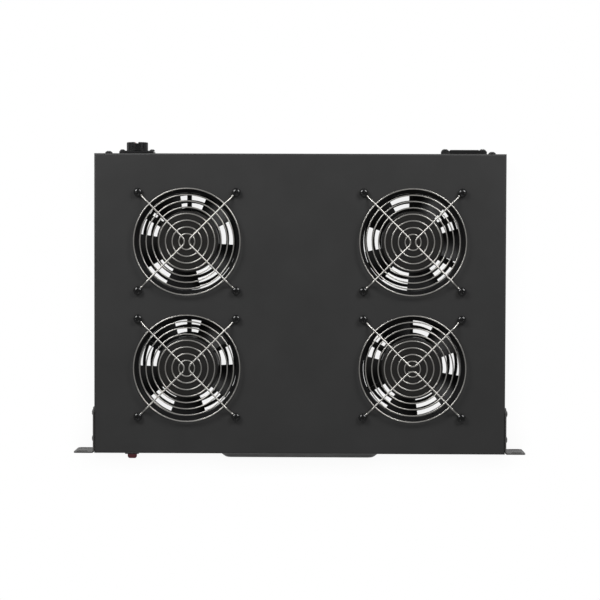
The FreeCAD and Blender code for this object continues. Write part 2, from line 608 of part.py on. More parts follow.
def make_guard():
    """Finger guard standing on Z = 0: two bent wires with eyelets, and eight rings welded below them."""
    foot_z = ARM_WIRE_R
    arm_z = foot_z + ARM_LIFT
    ring_z = arm_z - (ARM_WIRE_R + RING_WIRE_R - WELD_DEPTH)
    eye = FAN_HOLE_PITCH / 2
    foot = eye - EYELET_R * math.sqrt(0.5)
    step_out, step_in = ARM_STEP_OUT * math.sqrt(0.5), ARM_STEP_IN * math.sqrt(0.5)
    radii = [ARM_STEP_R, ARM_STEP_R, ARM_APEX_R, ARM_STEP_R, ARM_STEP_R]
    guard = None
    for side in (-1, 1):
        points = [V(side * foot, foot, foot_z), V(side * step_out, step_out, foot_z),
                  V(side * step_in, step_in, arm_z), V(0, 0, arm_z), V(side * step_in, -step_in, arm_z),
                  V(side * step_out, -step_out, foot_z), V(side * foot, -foot, foot_z)]
        wire = tube_along(rounded_path(points, radii), ARM_WIRE_R)
        for up in (-1, 1):
            wire = wire.fuse(Part.makeTorus(EYELET_R, ARM_WIRE_R, V(side * eye, up * eye, foot_z)))
        guard = wire if guard is None else guard.fuse(wire)
    rings = [Part.makeTorus(r, RING_WIRE_R, V(0, 0, ring_z)) for r in ring_radii()]
    return guard.fuse(rings)


def make_guard_fasteners():
    """Screws through eyelet, cover and fan flange, with nuts on the flange's far side."""
    seat_z, flange_z = TOP_Z + 2 * ARM_WIRE_R, FAN_TOP - FAN_FLANGE_T
    length = seat_z - flange_z + M4_NUT_H + TIP_BEYOND_NUT
    screws, nuts = [], []
    for cx, cy in FAN_CENTRES:
        for dx, dy in corners(FAN_HOLE_PITCH, FAN_HOLE_PITCH):
            seat = V(cx + dx, cy + dy, seat_z)
            screws.append(pan_screw(seat, Z_AXIS, length, M4_R, GUARD_HEAD_R, GUARD_HEAD_H))
            nuts.append(nut(V(cx + dx, cy + dy, flange_z), Z_AXIS * -1))
    return Part.Compound(screws), Part.Compound(nuts)


# ---- Mains inlet ----
def inlet_socket_outline(w, h, chamfer, y, depth):
    """Socket-shaped prism: a rectangle with two clipped upper corners, from y towards -Y."""
    hw, hh = w / 2, h / 2
    points = [V(-hw, y, -hh), V(hw, y, -hh), V(hw, y, hh - chamfer), V(hw - chamfer, y, hh),
              V(-hw + chamfer, y, hh), V(-hw, y, hh - chamfer), V(-hw, y, -hh)]
    return Part.Face(Part.makePolygon(points)).extrude(V(0, -depth, 0))


def make_inlet_body():
    """Screw-mounted mains inlet: flange with two ears, raised rim and deep socket."""
    hw, hh, ear = INLET_FLANGE_W / 2, INLET_FLANGE_H / 2, INLET_EAR_H / 2
    rim = INLET_RIM_W / 2
    outline = [V(-hw, 0, -ear), V(-rim, 0, -hh), V(rim, 0, -hh), V(hw, 0, -ear),
               V(hw, 0, ear), V(rim, 0, hh), V(-rim, 0, hh), V(-hw, 0, ear), V(-hw, 0, -ear)]
    flange = Part.Face(Part.makePolygon(outline)).extrude(V(0, INLET_FLANGE_T, 0))
    flange = fillet_where(flange, 1.5, lambda c, e: abs(e.Length - INLET_FLANGE_T) < 1e-6)
    raised = box(-rim, rim, 0, INLET_RIM_OUT, -hh, hh)
    raised = fillet_where(raised, 1.0, lambda c, e: c.y > INLET_RIM_OUT - 1e-3)
    back = box(-INLET_BODY_W / 2, INLET_BODY_W / 2, -INLET_BODY_D, 1, -INLET_BODY_H / 2, INLET_BODY_H / 2)
    body = flange.fuse(raised).fuse(back).removeSplitter()
    body = body.cut(inlet_socket_outline(INLET_CAVITY_W, INLET_CAVITY_H, INLET_CAVITY_CHAMFER,
                                         INLET_RIM_OUT + 1, INLET_CAVITY_D + 1))
    for x, z in inlet_pin_places():
        half_w, half_h = INLET_PIN_W / 2, INLET_PIN_H / 2
        body = body.cut(box(x - half_w, x + half_w, -INLET_BODY_D - 1, 0, z - half_h, z + half_h))
    for side in (-1, 1):
        body = body.cut(rod(M4_HOLE_R, V(side * INLET_SCREW_PITCH / 2, -1, 0), INLET_FLANGE_T + 2, Y_AXIS))
    body.translate(V(REAR_FITTING_X, WALL_Y, 0))
    return body


def inlet_pin_places():
    low = -INLET_PIN_OFFSET
    return [(-INLET_PIN_PITCH, low), (INLET_PIN_PITCH, low), (0.0, INLET_PIN_OFFSET)]


def make_inlet_pins():
    """Three flat pins, each with the solder tab behind the body."""
    pins = []
    for x, z in inlet_pin_places():
        tip = INLET_RIM_OUT - INLET_PIN_TIP
        pin = box(x - INLET_PIN_W / 2, x + INLET_PIN_W / 2, -INLET_BODY_D, tip,
                  z - INLET_PIN_H / 2, z + INLET_PIN_H / 2)
        pin = pin.makeChamfer(0.6, [e for e in pin.Edges if e.CenterOfMass.y > tip - 1e-3])
        tab = box(x - INLET_TAB_T / 2, x + INLET_TAB_T / 2, -INLET_BODY_D - INLET_TAB_L, -INLET_BODY_D,
                  z - INLET_TAB_W / 2, z + INLET_TAB_W / 2)
        pins.append(pin.fuse(tab))
    group = Part.Compound(pins)
    group.translate(V(REAR_FITTING_X, WALL_Y, 0))
    return group


def make_inlet_fasteners():
    screws, nuts = [], []
    for side in (-1, 1):
        x = REAR_FITTING_X + side * INLET_SCREW_PITCH / 2
        length = INLET_FLANGE_T + SHEET_T + M4_NUT_H + TIP_BEYOND_NUT
        seat = V(x, WALL_Y + INLET_FLANGE_T, 0)
        screws.append(pan_screw(seat, Y_AXIS, length, M4_R, M4_HEAD_R, M4_HEAD_H))
        nuts.append(nut(V(x, WALL_Y - SHEET_T, 0), Y_AXIS * -1))
    return Part.Compound(screws), Part.Compound(nuts)


# ---- Thermostat ----
def make_thermostat_body():
    """Mounting plate and the switch body behind it, with the spindle's bore."""
    plate = box(-THERMO_PLATE_W / 2, THERMO_PLATE_W / 2, 0, THERMO_PLATE_T,
                -THERMO_PLATE_H / 2, THERMO_PLATE_H / 2)
    plate = fillet_where(plate, 2.0, lambda c, e: abs(e.Length - THERMO_PLATE_T) < 1e-6)
    plate = plate.makeChamfer(1.0, [e for e in plate.Edges if e.CenterOfMass.y > THERMO_PLATE_T - 1e-3])
    back = box(-THERMO_BODY_W / 2, THERMO_BODY_W / 2, -THERMO_BODY_D, 1,
               -THERMO_BODY_H / 2, THERMO_BODY_H / 2)
    body = plate.fuse(back).removeSplitter()
    bore = SPINDLE_R + PIVOT_FIT
    body = body.cut(rod(bore, V(0, THERMO_PLATE_T - SPINDLE_SINK, 0), SPINDLE_SINK + 1, Y_AXIS))
    for side in (-1, 1):
        body = body.cut(rod(M3_HOLE_R, V(side * THERMO_SCREW_PITCH / 2, -1, 0), THERMO_PLATE_T + 2, Y_AXIS))
    body.translate(V(-REAR_FITTING_X, WALL_Y, 0))
    return body


def knob_base_y():
    return WALL_Y + THERMO_PLATE_T + KNOB_GAP


def make_knob():
    """Fluted dial with a coin slot across its face and a pocket for the marker."""
    knob = rod(KNOB_R, V(0, 0, 0), KNOB_H, Y_AXIS)
    knob = fillet_where(knob, 0.8, lambda c, e: c.y > KNOB_H - 1e-3 and len(e.Vertexes) == 1)
    for k in range(KNOB_FLUTES):
        turn = math.radians(360.0 * (k + 0.5) / KNOB_FLUTES)
        centre = V((KNOB_R + 0.2) * math.cos(turn), 1.5, (KNOB_R + 0.2) * math.sin(turn))
        knob = knob.cut(rod(KNOB_FLUTE_R, centre, KNOB_H, Y_AXIS))
    knob = knob.cut(box(-KNOB_SLOT_W / 2, KNOB_SLOT_W / 2, KNOB_H - KNOB_SLOT_D, KNOB_H + 1,
                        -KNOB_R - 1, KNOB_R + 1))
    knob = knob.cut(marker_block(KNOB_H + 1))
    knob = knob.cut(rod(SPINDLE_R, V(0, -1, 0), KNOB_BORE_D + 1, Y_AXIS))
    knob.translate(V(-REAR_FITTING_X, knob_base_y(), 0))
    return knob


def marker_block(top):
    """Block of the red marker's plan, from the pocket's floor up to top."""
    x1 = -KNOB_SLOT_W / 2
    return box(x1 - MARKER_L, x1, KNOB_H - MARKER_D, top, -MARKER_W / 2, MARKER_W / 2)


def make_marker():
    marker = marker_block(KNOB_H + MARKER_PROUD)
    marker = fillet_where(marker, 0.15, lambda c, e: c.y > KNOB_H)
    marker.translate(V(-REAR_FITTING_X, knob_base_y(), 0))
    return marker


def make_spindle():
    """Spindle pressed in the knob and turning in the body."""
    start = WALL_Y + THERMO_PLATE_T - SPINDLE_SINK + 0.3
    end = knob_base_y() + KNOB_BORE_D
    return rod(SPINDLE_R, V(-REAR_FITTING_X, start, 0), end - start, Y_AXIS)


def make_thermostat_screws():
    screws = []
    for side in (-1, 1):
        x = -REAR_FITTING_X + side * THERMO_SCREW_PITCH / 2
        screws.append(pan_screw(V(x, WALL_Y + THERMO_PLATE_T, 0), Y_AXIS, THERMO_PLATE_T + SHEET_T + 3,
                                M3_R, M3_HEAD_R, M3_HEAD_H))
    return Part.Compound(screws)


# ---- Rocker switch ----
def pivot_y():
    return FRONT_Y + ROCKER_PIVOT_IN


def make_switch_body():
    """Snap-in switch housing: bezel, well for the rocker and the pivot's two bores."""
    hw, hh = SWITCH_BEZEL_W / 2, SWITCH_BEZEL_H / 2
    bezel = box(-hw, hw, FRONT_Y - SWITCH_BEZEL_T, FRONT_Y, -hh, hh)
    bezel = fillet_where(bezel, 1.5, lambda c, e: abs(e.Length - SWITCH_BEZEL_T) < 1e-6)
    bezel = fillet_where(bezel, 0.7, lambda c, e: c.y < FRONT_Y - SWITCH_BEZEL_T + 1e-3)
    back = box(-SWITCH_BODY_W / 2, SWITCH_BODY_W / 2, FRONT_Y - 1, FRONT_Y + SWITCH_BODY_D,
               -SWITCH_BODY_H / 2, SWITCH_BODY_H / 2)
    body = bezel.fuse(back).removeSplitter()
    body = body.cut(box(-SWITCH_WELL_W / 2, SWITCH_WELL_W / 2, FRONT_Y - SWITCH_BEZEL_T - 1,
                        FRONT_Y + SWITCH_WELL_D, -SWITCH_WELL_H / 2, SWITCH_WELL_H / 2))
    body = body.cut(rod(PIVOT_R + PIVOT_FIT, V(-SWITCH_BODY_W, pivot_y(), 0), 2 * SWITCH_BODY_W, X_AXIS))
    body.translate(V(SWITCH_X, 0, 0))
    return body


def make_rocker():
    """Rocker tipped to its off side, with the two pivot stubs."""
    y, reach = -ROCKER_FACE_OUT, ROCKER_HALF_H
    face = Part.Arc(V(0, y, -reach), V(0, y + ROCKER_DISH, 0), V(0, y, reach)).toShape()
    sides = [Part.LineSegment(V(0, y, reach), V(0, 1.0, reach * 0.8)).toShape(),
             Part.LineSegment(V(0, 1.0, reach * 0.8), V(0, 2.4, 0)).toShape(),
             Part.LineSegment(V(0, 2.4, 0), V(0, 1.0, -reach * 0.8)).toShape(),
             Part.LineSegment(V(0, 1.0, -reach * 0.8), V(0, y, -reach)).toShape()]
    rocker = Part.Face(Part.Wire([face] + sides)).extrude(V(ROCKER_W, 0, 0))
    rocker.translate(V(-ROCKER_W / 2, 0, 0))
    face_edge_y, face_edge_x = y + ROCKER_DISH + 0.1, ROCKER_W / 2 - 0.1
    rocker = fillet_where(rocker, 0.6, lambda c, e: c.y < face_edge_y and abs(c.x) > face_edge_x)
    stub = SWITCH_BODY_W - 1.0
    rocker = rocker.fuse(rod(PIVOT_R, V(-stub / 2, 0, 0), stub, X_AXIS))
    rocker.rotate(V(0, 0, 0), X_AXIS, ROCKER_TILT)
    rocker.translate(V(SWITCH_X, pivot_y(), 0))
    return rocker


def make_switch_tabs():
    tabs = []
    y = FRONT_Y + SWITCH_BODY_D
    for sz in (-1, 1):
        z = sz * SWITCH_TAB_PITCH / 2
        tabs.append(box(SWITCH_X - SWITCH_TAB_W / 2, SWITCH_X + SWITCH_TAB_W / 2, y, y + SWITCH_TAB_L,
                        z - SWITCH_TAB_T / 2, z + SWITCH_TAB_T / 2))
    return Part.Compound(tabs)


# ---- Assembly ----
def place_fan(shape, index, turned=False):
    """Copy of a fan's piece at its place in the tray, turned to the impeller's rest angle if asked."""
    piece = shape.copy()
    if turned:
        piece.rotate(V(0, 0, 0), Z_AXIS, REST_ANGLES[index])
    cx, cy = FAN_CENTRES[index]
    piece.translate(V(cx, cy, 0))
    return piece


def build():
    parts = {"top_cover": make_top_cover(), "base_tray": make_base_tray(),
             "rack_ear_left": make_ear(-1), "rack_ear_right": make_ear(1)}
    parts["ear_screws"], parts["ear_nuts"] = make_ear_fasteners()
    parts["cover_screws"] = Part.Compound([
        pan_screw(place, Y_AXIS, COVER_SCREW_L, M4_R, M4_HEAD_R, M4_HEAD_H)
        for place in cover_screw_places()])
    frame, stator, bearings = make_fan_frame(), make_stator(), make_bearings()
    impeller, shaft, guard = make_impeller(), make_shaft(), make_guard()
    guard.translate(V(0, 0, TOP_Z))
    parts["fan_bearings"] = Part.Compound([place_fan(bearings, index) for index in range(len(FAN_NAMES))])
    for index, name in enumerate(FAN_NAMES):
        parts["fan_frame_" + name] = place_fan(frame, index)
        parts["fan_stator_" + name] = place_fan(stator, index)
        parts["impeller_" + name] = place_fan(impeller, index, turned=True)
        parts["fan_shaft_" + name] = place_fan(shaft, index, turned=True)
        one = guard.copy()
        if name == "front_right":
            one.rotate(V(0, 0, 0), Z_AXIS, 90)
        parts["guard_" + name] = place_fan(one, index)
    parts["guard_screws"], parts["guard_nuts"] = make_guard_fasteners()
    parts["inlet_body"] = make_inlet_body()
    parts["inlet_pins"] = make_inlet_pins()
    parts["inlet_screws"], parts["inlet_nuts"] = make_inlet_fasteners()
    parts["thermostat_body"] = make_thermostat_body()
    parts["thermostat_knob"] = make_knob()
    parts["thermostat_marker"] = make_marker()
    parts["thermostat_spindle"] = make_spindle()
    parts["thermostat_screws"] = make_thermostat_screws()
    parts["switch_body"] = make_switch_body()
    parts["switch_rocker"] = make_rocker()
    parts["switch_tabs"] = make_switch_tabs()
    return parts


def main():
    os.makedirs("parts", exist_ok=True)
    for name, shape in build().items():
        if not shape.isValid() or not shape.Solids:
            print("CHECK", name, "valid", shape.isValid(), "solids", len(shape.Solids))
        Part.Compound(shape.Solids).exportStep("parts/" + name + ".step")
        print(name, len(shape.Solids), "solids", round(shape.Volume, 1), "mm3")


main()
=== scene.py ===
"""Looks of the rack fan tray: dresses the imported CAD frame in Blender. Units are metres in the row frame."""
import json
import math

import bmesh
import bpy
from mathutils import Matrix, Vector


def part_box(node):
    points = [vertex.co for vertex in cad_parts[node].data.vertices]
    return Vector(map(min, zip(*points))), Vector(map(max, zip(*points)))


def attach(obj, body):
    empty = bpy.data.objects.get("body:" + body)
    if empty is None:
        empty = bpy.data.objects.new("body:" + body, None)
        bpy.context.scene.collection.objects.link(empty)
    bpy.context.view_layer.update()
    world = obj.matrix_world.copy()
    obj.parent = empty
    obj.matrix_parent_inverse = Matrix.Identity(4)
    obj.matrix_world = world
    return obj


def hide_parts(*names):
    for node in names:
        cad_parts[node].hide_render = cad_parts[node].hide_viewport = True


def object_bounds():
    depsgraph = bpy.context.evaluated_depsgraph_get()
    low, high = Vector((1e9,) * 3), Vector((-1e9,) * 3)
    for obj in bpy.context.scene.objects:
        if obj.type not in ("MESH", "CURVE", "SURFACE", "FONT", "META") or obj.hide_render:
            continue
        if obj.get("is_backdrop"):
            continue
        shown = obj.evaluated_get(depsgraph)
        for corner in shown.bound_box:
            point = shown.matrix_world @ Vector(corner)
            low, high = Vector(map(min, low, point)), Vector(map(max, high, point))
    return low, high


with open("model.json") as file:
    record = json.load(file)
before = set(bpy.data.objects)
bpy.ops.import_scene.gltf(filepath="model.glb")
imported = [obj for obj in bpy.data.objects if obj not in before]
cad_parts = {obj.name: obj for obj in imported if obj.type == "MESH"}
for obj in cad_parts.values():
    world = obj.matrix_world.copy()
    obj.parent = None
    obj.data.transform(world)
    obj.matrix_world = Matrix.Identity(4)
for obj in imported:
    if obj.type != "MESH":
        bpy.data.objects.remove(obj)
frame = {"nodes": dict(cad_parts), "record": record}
cad_low, cad_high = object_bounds()
MM = 0.001
FANS = ("rear_left", "rear_right", "front_left", "front_right")
SLOT_OF = {s["node"]: s["material_slot"] for s in frame["record"]["subparts"]}
BODY_OF = {n: b for b, members in frame["record"]["behaviour"]["bodies"].items() for n in members}


def centre_of(node):
    low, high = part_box(node)
    return (low + high) / 2


# ---- Materials ----
COAT_ROUGHNESS = 0.12
FLAT_DOT, EDGE_DOT = 0.97, 0.8    # true normal . rounded normal: no painted edge highlight above the first, full at the second


def srgb(*values):
    """Linear colour from 0-255 screen values."""
    linear = []
    for value in values:
        v = value / 255
        linear.append(v / 12.92 if v <= 0.04045 else ((v + 0.055) / 1.055) ** 2.4)
    return (*linear, 1)


def surface(name, colour, rough, metal=0.0, grain=(2500, 0.00001), mottle=(60, 0.12), rough_span=0.08,
            coat=0.0, specular=0.5, edge_highlight=None):
    """Principled material with a fine bump, a faint mottle and an optional painted highlight along its edges.

    grain and mottle are a noise scale with a bump height in metres, and with a share of the colour.
    The last argument is the painted edge highlight: its colour, how far it reaches in metres, and its
    strength.
    """
    mat = bpy.data.materials.new(name)
    mat.use_nodes = True
    nodes, links = mat.node_tree.nodes, mat.node_tree.links
    shader = nodes["Principled BSDF"]
    shader.inputs["Metallic"].default_value = metal
    shader.inputs["Coat Weight"].default_value = coat
    shader.inputs["Coat Roughness"].default_value = COAT_ROUGHNESS
    shader.inputs["Specular IOR Level"].default_value = specular
    place = nodes.new("ShaderNodeTexCoord")

    def noise(scale, detail):
        node = nodes.new("ShaderNodeTexNoise")
        node.inputs["Scale"].default_value = scale
        node.inputs["Detail"].default_value = detail
        links.new(place.outputs["Object"], node.inputs["Vector"])
        return node

    fine, broad = noise(grain[0], 3), noise(mottle[0], 4)
    bump = nodes.new("ShaderNodeBump")
    bump.inputs["Distance"].default_value = grain[1]
    bump.inputs["Strength"].default_value = 1.0
    links.new(fine.outputs["Fac"], bump.inputs["Height"])
    links.new(bump.outputs["Normal"], shader.inputs["Normal"])

    blend = nodes.new("ShaderNodeMix")
    blend.data_type = "RGBA"
    dark, light = 1 - mottle[1], 1 + mottle[1]
    blend.inputs["A"].default_value = (*[c * dark for c in colour[:3]], 1)
    blend.inputs["B"].default_value = (*[min(1, c * light) for c in colour[:3]], 1)
    links.new(broad.outputs["Fac"], blend.inputs["Factor"])
    base = blend.outputs["Result"]
    # Painted highlight: a lighter colour mixed in where the rounded normal turns from the true one, standing
    # in for the light that the bends catch.
    if edge_highlight:
        edge = nodes.new("ShaderNodeBevel")
        edge.inputs["Radius"].default_value = edge_highlight[1]
        geometry = nodes.new("ShaderNodeNewGeometry")
        dot = nodes.new("ShaderNodeVectorMath")
        dot.operation = "DOT_PRODUCT"
        links.new(edge.outputs["Normal"], dot.inputs[0])
        links.new(geometry.outputs["Normal"], dot.inputs[1])
        mask = nodes.new("ShaderNodeMapRange")
        mask.inputs["From Min"].default_value = FLAT_DOT
        mask.inputs["From Max"].default_value = EDGE_DOT
        mask.inputs["To Max"].default_value = edge_highlight[2]
        links.new(dot.outputs["Value"], mask.inputs["Value"])
        highlight_mix = nodes.new("ShaderNodeMix")
        highlight_mix.data_type = "RGBA"
        highlight_mix.inputs["B"].default_value = edge_highlight[0]
        links.new(mask.outputs["Result"], highlight_mix.inputs["Factor"])
        links.new(base, highlight_mix.inputs["A"])
        base = highlight_mix.outputs["Result"]
    links.new(base, shader.inputs["Base Color"])

    spread = nodes.new("ShaderNodeMapRange")
    spread.inputs["To Min"].default_value = max(0.02, rough - rough_span)
    spread.inputs["To Max"].default_value = rough + rough_span
    links.new(broad.outputs["Fac"], spread.inputs["Value"])
    links.new(spread.outputs["Result"], shader.inputs["Roughness"])
    return mat


MATERIALS = {
    # The powder coat's last argument paints a light highlight along its bent edges.
    "powder_coat": surface("powder_coat", srgb(42, 42, 42), 0.5, grain=(1500, 0.00006), mottle=(25, 0.14),
                           rough_span=0.05, specular=0.3, edge_highlight=(srgb(112, 112, 112), 0.0006, 0.4)),
    "black_zinc_screw": surface("black_zinc_screw", srgb(9, 9, 10), 0.16, grain=(3000, 0.000002),
                                mottle=(900, 0.2), rough_span=0.03, specular=0.36),
    "zinc_steel": surface("zinc_steel", srgb(190, 192, 190), 0.3, metal=1.0, mottle=(700, 0.1)),
    "guard_wire": surface("guard_wire", srgb(173, 171, 167), 0.3, metal=1.0, grain=(2500, 0.000001),
                          mottle=(400, 0.05), rough_span=0.03),
    "fan_casting": surface("fan_casting", srgb(16, 16, 17), 0.5, grain=(1800, 0.00003), mottle=(120, 0.15),
                           specular=0.3),
    "impeller_plastic": surface("impeller_plastic", srgb(15, 15, 16), 0.5, grain=(2500, 0.00001),
                                mottle=(80, 0.12), specular=0.25),
    "stator_steel": surface("stator_steel", srgb(140, 140, 142), 0.4, metal=1.0),
    "ground_steel": surface("ground_steel", srgb(200, 200, 202), 0.22, metal=1.0, mottle=(900, 0.06)),
    "contact_metal": surface("contact_metal", srgb(205, 200, 185), 0.25, metal=1.0, mottle=(700, 0.08)),
    "black_plastic": surface("black_plastic", srgb(15, 15, 16), 0.4, grain=(2600, 0.00002),
                             mottle=(150, 0.12), specular=0.25),
    "rocker_red": surface("rocker_red", srgb(112, 12, 30), 0.22, grain=(2000, 0.000004), mottle=(200, 0.06),
                          coat=0.4),
    "marker_red": surface("marker_red", srgb(196, 28, 30), 0.35, grain=(2500, 0.00001), mottle=(300, 0.08)),
}

HUB_PAINT = surface("hub_paint", srgb(33, 32, 31), 0.45, grain=(2500, 0.00001), mottle=(80, 0.12),
                    specular=0.3)
# Lighter copy of the powder coat for the ears: painted light for the light the ears catch, with a painted
# highlight on their edges; the real ears have the tray's own coat.
EAR_LIT_COAT = surface("ear_lit_coat", srgb(60, 59, 58), 0.5, grain=(1500, 0.00001), mottle=(25, 0.1),
                   rough_span=0.05, specular=0.35, edge_highlight=(srgb(120, 119, 118), 0.0006, 0.4))

for node_name, cad in frame["nodes"].items():
    cad.data.materials.clear()
    cad.data.materials.append(MATERIALS[SLOT_OF[node_name]])


# ---- Pieces made from the frame's own meshes ----
def add_piece(name, mesh, body, slot, location=(0, 0, 0), turn=0.0):
    """New object riding on a CAD body, with its slot's material."""
    piece = bpy.data.objects.new(name, mesh)
    bpy.context.scene.collection.objects.link(piece)
    piece.location = location
    piece.rotation_euler = (0, 0, turn)
    if not mesh.materials:
        mesh.materials.append(MATERIALS[slot])
    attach(piece, body)
    return piece


def set_smooth(bm, sharp_angle):
    """Smooth faces, with sharp edges above the angle."""
    for face in bm.faces:
        face.smooth = True
    for edge in bm.edges:
        edge.smooth = edge.calc_face_angle(0) < sharp_angle


MERGE_REACH = 0.000001
FLAT_ANGLE = math.radians(0.4)    # faces nearer to level than this become one
BEVEL_SEGMENTS = 2


def dress(node, name, bevel=0.0, sharp=30):
    """Cleaned copy of a CAD node, shown in its stead, with rounded edges above the sharp angle in degrees."""
    mesh = frame["nodes"][node].data.copy()
    bm = bmesh.new()
    bm.from_mesh(mesh)
    bmesh.ops.remove_doubles(bm, verts=bm.verts, dist=MERGE_REACH)
    bmesh.ops.dissolve_limit(bm, angle_limit=FLAT_ANGLE, verts=bm.verts, edges=bm.edges)
    set_smooth(bm, math.radians(sharp))
    bm.to_mesh(mesh)
    bm.free()
    piece = add_piece(name, mesh, BODY_OF[node], SLOT_OF[node])
    if bevel:
        edges = piece.modifiers.new("edges", "BEVEL")
        edges.width = bevel
        edges.segments = BEVEL_SEGMENTS
        edges.limit_method = "ANGLE"
        edges.angle_limit = math.radians(sharp)
        edges.harden_normals = True
    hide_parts(node)
    return piece


dress("top_cover", "cover_sheet")
dress("base_tray", "base_sheet")
for side in ("left", "right"):
    ear = dress("rack_ear_" + side, "ear_" + side, bevel=0.15 * MM)
    # the ears take the lighter, painted-light copy of the coat
    ear.data.materials[0] = EAR_LIT_COAT
HUB_REACH = 33.2 * MM    # faces whose middle lies within this radius get the hub's paint
for fan in FANS:
    dress("fan_frame_" + fan, "housing_" + fan, bevel=0.3 * MM)
    rotor = dress("impeller_" + fan, "rotor_" + fan, bevel=0.25 * MM, sharp=40)
    rotor.data.materials.append(HUB_PAINT)
    hub_centre = centre_of("impeller_" + fan).xy
    for face in rotor.data.polygons:
        if (face.center.xy - hub_centre).length < HUB_REACH:
            face.material_index = 1
for node_name, piece_name, edge in (
        ("inlet_body", "inlet_moulding", 0.25), ("inlet_pins", "inlet_blades", 0.15),
        ("thermostat_body", "thermostat_plate", 0.25), ("thermostat_knob", "dial", 0.15),
        ("thermostat_marker", "dial_marker", 0.1), ("switch_body", "switch_bezel", 0.2)):
    dress(node_name, piece_name, bevel=edge * MM)
rocker = dress("switch_rocker", "rocker")
for group in ("guard", "ear", "cover", "inlet", "thermostat"):
    dress(group + "_screws", group + "_screw_heads", bevel=0.12 * MM, sharp=35)


ROCKER_HALF_W = 5.0 * MM
ROCKER_ROUND = 2.6 * MM     # how far in from each end the rocker's face is rounded
ROCKER_ROOT_Y = -3.0 * MM   # only what stands in front of this is rounded
ROCKER_CUTS = 6
CUT_REACH = 0.00001 * MM


def round_ends(piece, node):
    """Round off the two ends, along X, of the rocker's face."""
    low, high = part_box(node)
    middle, flat = (low.x + high.x) / 2, ROCKER_HALF_W - ROCKER_ROUND
    bm = bmesh.new()
    bm.from_mesh(piece.data)
    for side in (-1, 1):
        for i in range(ROCKER_CUTS):
            place = Vector((middle + side * (ROCKER_HALF_W - ROCKER_ROUND * i / ROCKER_CUTS), 0, 0))
            bmesh.ops.bisect_plane(bm, geom=bm.verts[:] + bm.edges[:] + bm.faces[:], plane_co=place,
                                   plane_no=(1, 0, 0), dist=CUT_REACH)
    for vert in bm.verts:
        past = abs(vert.co.x - middle) - flat
        if past > 0 and vert.co.y < ROCKER_ROOT_Y:
            drop = ROCKER_ROUND - math.sqrt(max(0, ROCKER_ROUND ** 2 - min(past, ROCKER_ROUND) ** 2))
            vert.co.y = min(ROCKER_ROOT_Y, vert.co.y + drop)
    set_smooth(bm, math.radians(40))
    bm.to_mesh(piece.data)
    bm.free()


round_ends(rocker, "switch_rocker")


# ---- Wire guards ----
def add_tube(bm, points, radius, closed=False, sides=12):
    """Round wire along points; a closed one is a ring."""
    count = len(points)
    rings = []
    for i, point in enumerate(points):
        before = points[(i - 1) % count] if closed or i else points[0]
        after = points[(i + 1) % count] if closed or i < count - 1 else points[-1]
        along = (after - before).normalized()
        across = Vector((0, 0, 1)).cross(along).normalized()
        up = along.cross(across)
        turn = 2 * math.pi / sides
        rings.append([bm.verts.new(point + (across * math.cos(turn * k) + up * math.sin(turn * k)) * radius)
                      for k in range(sides)])
    pairs = list(zip(rings, rings[1:] + rings[:1])) if closed else list(zip(rings, rings[1:]))
    for first, second in pairs:
        for k in range(sides):
            bm.faces.new((first[k], first[(k + 1) % sides], second[(k + 1) % sides], second[k]))
    if not closed:
        bm.faces.new(rings[0][::-1])
        bm.faces.new(rings[-1])


def circle(radius, centre, count):
    return [centre + Vector((math.cos(a) * radius, math.sin(a) * radius, 0))
            for a in (2 * math.pi * i / count for i in range(count))]


def bent(points, radii, steps=8):
    """Points of a wire with straight runs and round bends."""
    path = [points[0]]
    for before, corner, after, radius in zip(points, points[1:], points[2:], radii):
        back, on = (before - corner).normalized(), (after - corner).normalized()
        half = back.angle(on) / 2
        setback = radius / math.tan(half)
        hub = corner + (back + on).normalized() * (radius / math.sin(half))
        start, end = corner + back * setback - hub, corner + on * setback - hub
        sweep = start.angle(end)
        for i in range(steps + 1):
            t = i / steps
            between = start * math.sin((1 - t) * sweep) + end * math.sin(t * sweep)
            path.append(hub + between / math.sin(sweep))
    path.append(points[-1])
    return path


RING_R = 0.7 * MM
ARM_R = 0.9 * MM
WELD = 0.25 * MM            # how far ring and arm are pressed into each other
EYE = 52.4 * MM             # eyelets' places along X and Y
EYELET_R = 3.35 * MM
LIFT = 4.2 * MM             # arms above their feet
STEP_OUT, STEP_IN = 67 * MM, 60.5 * MM    # radii between which an arm rises
STEP_R, APEX_R = 3 * MM, 6.5 * MM         # bends at the step and near the middle
BLOB_R = 0.85 * MM
BLOB_DROP = 0.1 * MM
BLOB_SHAPE = (1.15, 1.15, 0.6)
RING_RADII = [r * MM for r in (8.45, 15.6, 22.75, 29.9, 36.58, 43.26, 49.94, 56.62)]


